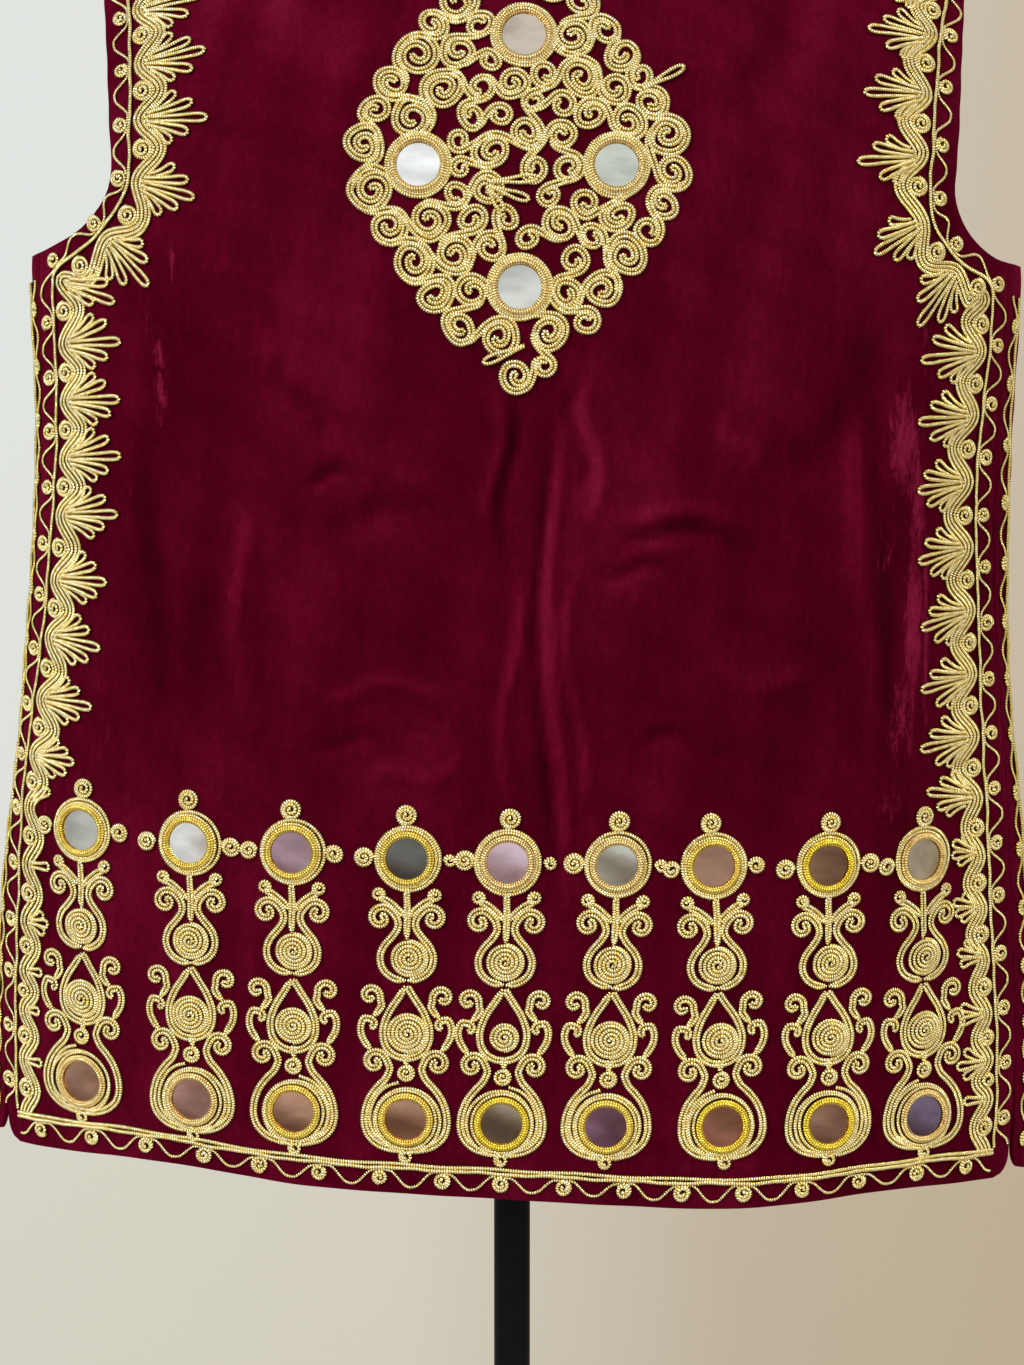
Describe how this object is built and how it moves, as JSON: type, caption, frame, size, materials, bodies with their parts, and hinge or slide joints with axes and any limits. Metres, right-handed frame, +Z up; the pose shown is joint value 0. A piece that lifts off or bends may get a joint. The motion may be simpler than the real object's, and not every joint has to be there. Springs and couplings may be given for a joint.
{
  "type": "embroidered velvet vest on a dress form stand",
  "caption": "Sleeveless open-front velvet vest with raised gold cord work and small round mirrors, worn by a limbless dress form on a pole with a round base.",
  "frame": {"origin": "middle of the underside of the stand's base, on the floor", "axes": "+Z up; -Y is the way the back of the vest faces and +Y its open front; +X is to the right of someone looking at the back"},
  "size_m": [0.5491, 0.38, 1.5374],
  "materials": {
    "velvet": "deep burgundy cotton velvet, crushed nap with a soft sheen",
    "gold_cord": "gold metal-wrapped cord couched on the velvet, satin metallic",
    "mirror_glass": "small hand-cut mirror glass, slightly uneven",
    "form_jersey": "plain pale linen jersey, matte",
    "cap_wood": "dark satin varnish",
    "black_metal": "black satin powder coat"
  },
  "bodies": {
    "root": {"back_panel": "velvet", "left_front_panel": "velvet", "right_front_panel": "velvet", "back_medallion": "gold_cord", "hem_column_1": "gold_cord", "hem_column_2": "gold_cord", "hem_column_3": "gold_cord", "hem_column_4": "gold_cord", "hem_column_5": "gold_cord", "hem_column_6": "gold_cord", "hem_column_7": "gold_cord", "hem_column_8": "gold_cord", "hem_column_9": "gold_cord", "left_side_border": "gold_cord", "right_side_border": "gold_cord", "hem_border": "gold_cord", "left_front_border": "gold_cord", "right_front_border": "gold_cord", "mirror_top_1": "mirror_glass", "mirror_top_2": "mirror_glass", "mirror_top_3": "mirror_glass", "mirror_top_4": "mirror_glass", "mirror_top_5": "mirror_glass", "mirror_top_6": "mirror_glass", "mirror_top_7": "mirror_glass", "mirror_top_8": "mirror_glass", "mirror_top_9": "mirror_glass", "mirror_foot_1": "mirror_glass", "mirror_foot_2": "mirror_glass", "mirror_foot_3": "mirror_glass", "mirror_foot_4": "mirror_glass", "mirror_foot_5": "mirror_glass", "mirror_foot_6": "mirror_glass", "mirror_foot_7": "mirror_glass", "mirror_foot_8": "mirror_glass", "mirror_foot_9": "mirror_glass", "mirror_medallion_left": "mirror_glass", "mirror_medallion_right": "mirror_glass", "mirror_medallion_top": "mirror_glass", "mirror_medallion_bottom": "mirror_glass", "form_torso": "form_jersey", "form_neck_cap": "cap_wood", "stand_pole": "black_metal", "stand_base": "black_metal"}
  },
  "joints": []
}
